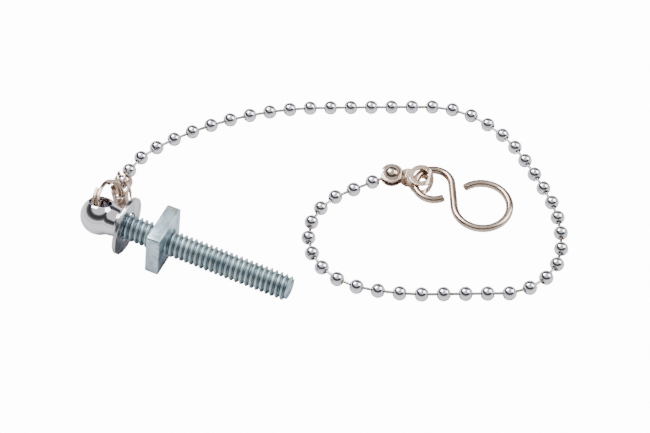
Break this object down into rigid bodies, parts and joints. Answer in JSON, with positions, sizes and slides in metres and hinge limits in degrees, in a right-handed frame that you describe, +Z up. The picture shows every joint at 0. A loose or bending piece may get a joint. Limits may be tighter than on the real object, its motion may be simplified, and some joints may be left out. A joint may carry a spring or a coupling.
{
  "type": "ball-chain stay with a threaded stay bolt",
  "caption": "Bead retaining chain: a ball-headed stay bolt with washer and square nut, a split ring, folded couplings at both ends and an S-hook.",
  "frame": {"origin": "centre of the ball head's washer seat, on the stud's axis", "axes": "+Z up from the surface it lies on; +X the stud's direction seen from above, from the head towards the tip; the stud itself leans 5.5 degrees down towards its tip"},
  "size_m": [0.1083, 0.0798, 0.0141],
  "materials": {
    "polished_chrome": "polished",
    "bead_chrome": "polished",
    "zinc_plate": "bright zinc plate",
    "warm_nickel": "nickel plate with a warm tint over brass"
  },
  "bodies": {
    "stay_bolt": {"ball_head": "polished_chrome", "threaded_stud": "zinc_plate"},
    "washer": {"washer": "polished_chrome"},
    "square_nut": {"square_nut": "zinc_plate"},
    "split_ring": {"split_ring": "warm_nickel"},
    "ring_coupling": {"ring_coupling": "warm_nickel"},
    "bead_01": {"bead_01": "bead_chrome"},
    "bead_02": {"bead_02": "bead_chrome"},
    "bead_03": {"bead_03": "bead_chrome"},
    "bead_04": {"bead_04": "bead_chrome"},
    "bead_05": {"bead_05": "bead_chrome"},
    "bead_06": {"bead_06": "bead_chrome"},
    "bead_07": {"bead_07": "bead_chrome"},
    "bead_08": {"bead_08": "bead_chrome"},
    "bead_09": {"bead_09": "bead_chrome"},
    "bead_10": {"bead_10": "bead_chrome"},
    "bead_11": {"bead_11": "bead_chrome"},
    "bead_12": {"bead_12": "bead_chrome"},
    "bead_13": {"bead_13": "bead_chrome"},
    "bead_14": {"bead_14": "bead_chrome"},
    "bead_15": {"bead_15": "bead_chrome"},
    "bead_16": {"bead_16": "bead_chrome"},
    "bead_17": {"bead_17": "bead_chrome"},
    "bead_18": {"bead_18": "bead_chrome"},
    "bead_19": {"bead_19": "bead_chrome"},
    "bead_20": {"bead_20": "bead_chrome"},
    "bead_21": {"bead_21": "bead_chrome"},
    "bead_22": {"bead_22": "bead_chrome"},
    "bead_23": {"bead_23": "bead_chrome"},
    "bead_24": {"bead_24": "bead_chrome"},
    "bead_25": {"bead_25": "bead_chrome"},
    "bead_26": {"bead_26": "bead_chrome"},
    "bead_27": {"bead_27": "bead_chrome"},
    "bead_28": {"bead_28": "bead_chrome"},
    "bead_29": {"bead_29": "bead_chrome"},
    "bead_30": {"bead_30": "bead_chrome"},
    "bead_31": {"bead_31": "bead_chrome"},
    "bead_32": {"bead_32": "bead_chrome"},
    "bead_33": {"bead_33": "bead_chrome"},
    "bead_34": {"bead_34": "bead_chrome"},
    "bead_35": {"bead_35": "bead_chrome"},
    "bead_36": {"bead_36": "bead_chrome"},
    "bead_37": {"bead_37": "bead_chrome"},
    "bead_38": {"bead_38": "bead_chrome"},
    "bead_39": {"bead_39": "bead_chrome"},
    "bead_40": {"bead_40": "bead_chrome"},
    "bead_41": {"bead_41": "bead_chrome"},
    "bead_42": {"bead_42": "bead_chrome"},
    "bead_43": {"bead_43": "bead_chrome"},
    "bead_44": {"bead_44": "bead_chrome"},
    "bead_45": {"bead_45": "bead_chrome"},
    "bead_46": {"bead_46": "bead_chrome"},
    "bead_47": {"bead_47": "bead_chrome"},
    "bead_48": {"bead_48": "bead_chrome"},
    "bead_49": {"bead_49": "bead_chrome"},
    "bead_50": {"bead_50": "bead_chrome"},
    "bead_51": {"bead_51": "bead_chrome"},
    "hook_coupling": {"hook_coupling": "warm_nickel"},
    "s_hook": {"s_hook": "warm_nickel"}
  },
  "joints": [
    {"name": "washer_turn", "type": "hinge", "parent": "stay_bolt", "child": "washer", "pos_m": [0, 0, 0], "axis": [0.9954, 0, -0.0961], "range_deg": [-1927.6, 8333.9]},
    {"name": "nut_travel", "type": "slide", "parent": "washer", "child": "square_nut", "axis": [0.9954, 0, -0.0961], "range_m": [-0.00681, 0.02941]},
    {"name": "ring_swing", "type": "hinge", "parent": "stay_bolt", "child": "split_ring", "pos_m": [-0.00667, 0, 0.00064], "axis": [0.0903, 0.342, 0.9353], "range_deg": [-2, 90]},
    {"name": "ring_coupling_swing", "type": "hinge", "parent": "split_ring", "child": "ring_coupling", "pos_m": [-0.00577, 0.0103, -0.00232], "axis": [-0.2515, 0.288, 0.924], "range_deg": [-3, 12]},
    {"name": "bead_01_pitch", "type": "hinge", "parent": "ring_coupling", "child": "bead_01", "pos_m": [-0.00841, 0.01623, -0.00435], "axis": [-0.8849, -0.4432, -0.1435], "range_deg": [-3, 3]},
    {"name": "bead_02_lift", "type": "hinge", "parent": "bead_01", "child": "bead_02", "pos_m": [-0.00926, 0.02108, -0.00539], "axis": [0.9999, 0.0157, 0], "range_deg": [-8, 8]},
    {"name": "bead_03_swing", "type": "hinge", "parent": "bead_02", "child": "bead_03", "pos_m": [-0.00856, 0.02607, -0.00539], "axis": [0, 0, -1], "range_deg": [-3.5, 3.5]},
    {"name": "bead_04_lift", "type": "hinge", "parent": "bead_03", "child": "bead_04", "pos_m": [-0.00659, 0.03071, -0.00539], "axis": [-0.887, 0.4617, 0], "range_deg": [-8, 8]},
    {"name": "bead_05_swing", "type": "hinge", "parent": "bead_04", "child": "bead_05", "pos_m": [-0.00392, 0.03499, -0.00539], "axis": [0, 0, 1], "range_deg": [-3.5, 3.5]},
    {"name": "bead_06_lift", "type": "hinge", "parent": "bead_05", "child": "bead_06", "pos_m": [-0.00095, 0.03906, -0.00539], "axis": [0.7848, -0.6198, 0], "range_deg": [-8, 8]},
    {"name": "bead_07_swing", "type": "hinge", "parent": "bead_06", "child": "bead_07", "pos_m": [0.00232, 0.04289, -0.00539], "axis": [0, 0, -1], "range_deg": [-3.5, 3.5]},
    {"name": "bead_08_lift", "type": "hinge", "parent": "bead_07", "child": "bead_08", "pos_m": [0.00586, 0.04648, -0.00539], "axis": [-0.6858, 0.7278, 0], "range_deg": [-8, 8]},
    {"name": "bead_09_swing", "type": "hinge", "parent": "bead_08", "child": "bead_09", "pos_m": [0.00965, 0.0498, -0.00539], "axis": [0, 0, 1], "range_deg": [-3.5, 3.5]},
    {"name": "bead_10_lift", "type": "hinge", "parent": "bead_09", "child": "bead_10", "pos_m": [0.01368, 0.05284, -0.00539], "axis": [0.5721, -0.8202, 0], "range_deg": [-8, 8]},
    {"name": "bead_11_swing", "type": "hinge", "parent": "bead_10", "child": "bead_11", "pos_m": [0.01791, 0.05557, -0.00539], "axis": [0, 0, -1], "range_deg": [-3.5, 3.5]},
    {"name": "bead_12_lift", "type": "hinge", "parent": "bead_11", "child": "bead_12", "pos_m": [0.02234, 0.05798, -0.00539], "axis": [-0.4462, 0.8949, 0], "range_deg": [-8, 8]},
    {"name": "bead_13_swing", "type": "hinge", "parent": "bead_12", "child": "bead_13", "pos_m": [0.02693, 0.06006, -0.00539], "axis": [0, 0, 1], "range_deg": [-3.5, 3.5]},
    {"name": "bead_14_lift", "type": "hinge", "parent": "bead_13", "child": "bead_14", "pos_m": [0.03153, 0.06212, -0.00539], "axis": [0.4059, -0.9139, 0], "range_deg": [-8, 8]},
    {"name": "bead_15_swing", "type": "hinge", "parent": "bead_14", "child": "bead_15", "pos_m": [0.03614, 0.06415, -0.00539], "axis": [0, 0, -1], "range_deg": [-3.5, 3.5]},
    {"name": "bead_16_lift", "type": "hinge", "parent": "bead_15", "child": "bead_16", "pos_m": [0.04076, 0.06616, -0.00539], "axis": [-0.3963, 0.9181, 0], "range_deg": [-8, 8]},
    {"name": "bead_17_swing", "type": "hinge", "parent": "bead_16", "child": "bead_17", "pos_m": [0.04539, 0.06815, -0.00539], "axis": [0, 0, 1], "range_deg": [-3.5, 3.5]},
    {"name": "bead_18_lift", "type": "hinge", "parent": "bead_17", "child": "bead_18", "pos_m": [0.05004, 0.07011, -0.00539], "axis": [0.299, -0.9542, 0], "range_deg": [-8, 8]},
    {"name": "bead_19_swing", "type": "hinge", "parent": "bead_18", "child": "bead_19", "pos_m": [0.05497, 0.07115, -0.00539], "axis": [0, 0, -1], "range_deg": [-3.5, 3.5]},
    {"name": "bead_20_lift", "type": "hinge", "parent": "bead_19", "child": "bead_20", "pos_m": [0.06001, 0.07096, -0.00539], "axis": [0.1582, 0.9874, 0], "range_deg": [-8, 8]},
    {"name": "bead_21_swing", "type": "hinge", "parent": "bead_20", "child": "bead_21", "pos_m": [0.06485, 0.06957, -0.00539], "axis": [0, 0, 1], "range_deg": [-3.5, 3.5]},
    {"name": "bead_22_lift", "type": "hinge", "parent": "bead_21", "child": "bead_22", "pos_m": [0.06943, 0.06747, -0.00539], "axis": [-0.4825, -0.8759, 0], "range_deg": [-8, 8]},
    {"name": "bead_23_swing", "type": "hinge", "parent": "bead_22", "child": "bead_23", "pos_m": [0.07365, 0.06471, -0.00539], "axis": [0, 0, -1], "range_deg": [-3.5, 3.5]},
    {"name": "bead_24_lift", "type": "hinge", "parent": "bead_23", "child": "bead_24", "pos_m": [0.07742, 0.06137, -0.00539], "axis": [0.6769, 0.7361, 0], "range_deg": [-8, 8]},
    {"name": "bead_25_swing", "type": "hinge", "parent": "bead_24", "child": "bead_25", "pos_m": [0.08107, 0.05789, -0.00539], "axis": [0, 0, 1], "range_deg": [-3.5, 3.5]},
    {"name": "bead_26_lift", "type": "hinge", "parent": "bead_25", "child": "bead_26", "pos_m": [0.0846, 0.05429, -0.00539], "axis": [-0.7266, -0.6871, 0], "range_deg": [-8, 8]},
    {"name": "bead_27_swing", "type": "hinge", "parent": "bead_26", "child": "bead_27", "pos_m": [0.088, 0.05057, -0.00539], "axis": [0, 0, -1], "range_deg": [-3.5, 3.5]},
    {"name": "bead_28_lift", "type": "hinge", "parent": "bead_27", "child": "bead_28", "pos_m": [0.09088, 0.04644, -0.00539], "axis": [0.8558, 0.5173, 0], "range_deg": [-8, 8]},
    {"name": "bead_29_swing", "type": "hinge", "parent": "bead_28", "child": "bead_29", "pos_m": [0.0932, 0.04196, -0.00539], "axis": [0, 0, 1], "range_deg": [-3.5, 3.5]},
    {"name": "bead_30_lift", "type": "hinge", "parent": "bead_29", "child": "bead_30", "pos_m": [0.09491, 0.03722, -0.00539], "axis": [-0.9707, -0.2402, 0], "range_deg": [-8, 8]},
    {"name": "bead_31_swing", "type": "hinge", "parent": "bead_30", "child": "bead_31", "pos_m": [0.09561, 0.03223, -0.00539], "axis": [0, 0, -1], "range_deg": [-3.5, 3.5]},
    {"name": "bead_32_lift", "type": "hinge", "parent": "bead_31", "child": "bead_32", "pos_m": [0.09468, 0.02728, -0.00539], "axis": [0.9406, -0.3396, 0], "range_deg": [-8, 8]},
    {"name": "bead_33_swing", "type": "hinge", "parent": "bead_32", "child": "bead_33", "pos_m": [0.09223, 0.02287, -0.00539], "axis": [0, 0, 1], "range_deg": [-3.5, 3.5]},
    {"name": "bead_34_lift", "type": "hinge", "parent": "bead_33", "child": "bead_34", "pos_m": [0.08851, 0.01947, -0.00539], "axis": [-0.5468, 0.8372, 0], "range_deg": [-8, 8]},
    {"name": "bead_35_swing", "type": "hinge", "parent": "bead_34", "child": "bead_35", "pos_m": [0.0839, 0.01743, -0.00539], "axis": [0, 0, -1], "range_deg": [-3.5, 3.5]},
    {"name": "bead_36_lift", "type": "hinge", "parent": "bead_35", "child": "bead_36", "pos_m": [0.07929, 0.01539, -0.00539], "axis": [0.4051, -0.9143, 0], "range_deg": [-8, 8]},
    {"name": "bead_37_swing", "type": "hinge", "parent": "bead_36", "child": "bead_37", "pos_m": [0.07468, 0.01335, -0.00539], "axis": [0, 0, 1], "range_deg": [-3.5, 3.5]},
    {"name": "bead_38_lift", "type": "hinge", "parent": "bead_37", "child": "bead_38", "pos_m": [0.07008, 0.01131, -0.00539], "axis": [-0.3649, 0.9311, 0], "range_deg": [-8, 8]},
    {"name": "bead_39_swing", "type": "hinge", "parent": "bead_38", "child": "bead_39", "pos_m": [0.06531, 0.00967, -0.00539], "axis": [0, 0, -1], "range_deg": [-3.5, 3.5]},
    {"name": "bead_40_lift", "type": "hinge", "parent": "bead_39", "child": "bead_40", "pos_m": [0.06042, 0.00846, -0.00539], "axis": [0.1977, -0.9803, 0], "range_deg": [-8, 8]},
    {"name": "bead_41_swing", "type": "hinge", "parent": "bead_40", "child": "bead_41", "pos_m": [0.05544, 0.00768, -0.00539], "axis": [0, 0, 1], "range_deg": [-3.5, 3.5]},
    {"name": "bead_42_lift", "type": "hinge", "parent": "bead_41", "child": "bead_42", "pos_m": [0.05042, 0.00813, -0.00539], "axis": [0.2394, 0.9709, 0], "range_deg": [-8, 8]},
    {"name": "bead_43_swing", "type": "hinge", "parent": "bead_42", "child": "bead_43", "pos_m": [0.04576, 0.01007, -0.00539], "axis": [0, 0, -1], "range_deg": [-3.5, 3.5]},
    {"name": "bead_44_lift", "type": "hinge", "parent": "bead_43", "child": "bead_44", "pos_m": [0.04191, 0.01332, -0.00539], "axis": [-0.753, -0.658, 0], "range_deg": [-8, 8]},
    {"name": "bead_45_swing", "type": "hinge", "parent": "bead_44", "child": "bead_45", "pos_m": [0.03921, 0.01757, -0.00539], "axis": [0, 0, 1], "range_deg": [-3.5, 3.5]},
    {"name": "bead_46_lift", "type": "hinge", "parent": "bead_45", "child": "bead_46", "pos_m": [0.03791, 0.02244, -0.00539], "axis": [0.9942, 0.1071, 0], "range_deg": [-8, 8]},
    {"name": "bead_47_swing", "type": "hinge", "parent": "bead_46", "child": "bead_47", "pos_m": [0.03814, 0.02748, -0.00539], "axis": [0, 0, -1], "range_deg": [-3.5, 3.5]},
    {"name": "bead_48_lift", "type": "hinge", "parent": "bead_47", "child": "bead_48", "pos_m": [0.03987, 0.03221, -0.00539], "axis": [-0.8759, 0.4825, 0], "range_deg": [-8, 8]},
    {"name": "bead_49_swing", "type": "hinge", "parent": "bead_48", "child": "bead_49", "pos_m": [0.04295, 0.0362, -0.00539], "axis": [0, 0, 1], "range_deg": [-3.5, 3.5]},
    {"name": "bead_50_lift", "type": "hinge", "parent": "bead_49", "child": "bead_50", "pos_m": [0.04628, 0.03996, -0.005], "axis": [0.7242, -0.6896, 0], "range_deg": [-8, 8]},
    {"name": "bead_51_swing", "type": "hinge", "parent": "bead_50", "child": "bead_51", "pos_m": [0.04987, 0.04347, -0.0045], "axis": [0, 0, -1], "range_deg": [-3.5, 3.5]},
    {"name": "hook_coupling_swing", "type": "hinge", "parent": "bead_51", "child": "hook_coupling", "pos_m": [0.04987, 0.04347, -0.0045], "axis": [0.0302, -0.1711, 0.9848], "range_deg": [-20, 20]},
    {"name": "hook_turn", "type": "hinge", "parent": "hook_coupling", "child": "s_hook", "pos_m": [0.06028, 0.04429, -0.0045], "axis": [0.052, -0.1276, 0.9905], "range_deg": [-30, 30]}
  ],
  "couplings": [
    {"joint": "nut_travel", "follows": "washer_turn", "m_per_rad": 0.00020213}
  ]
}
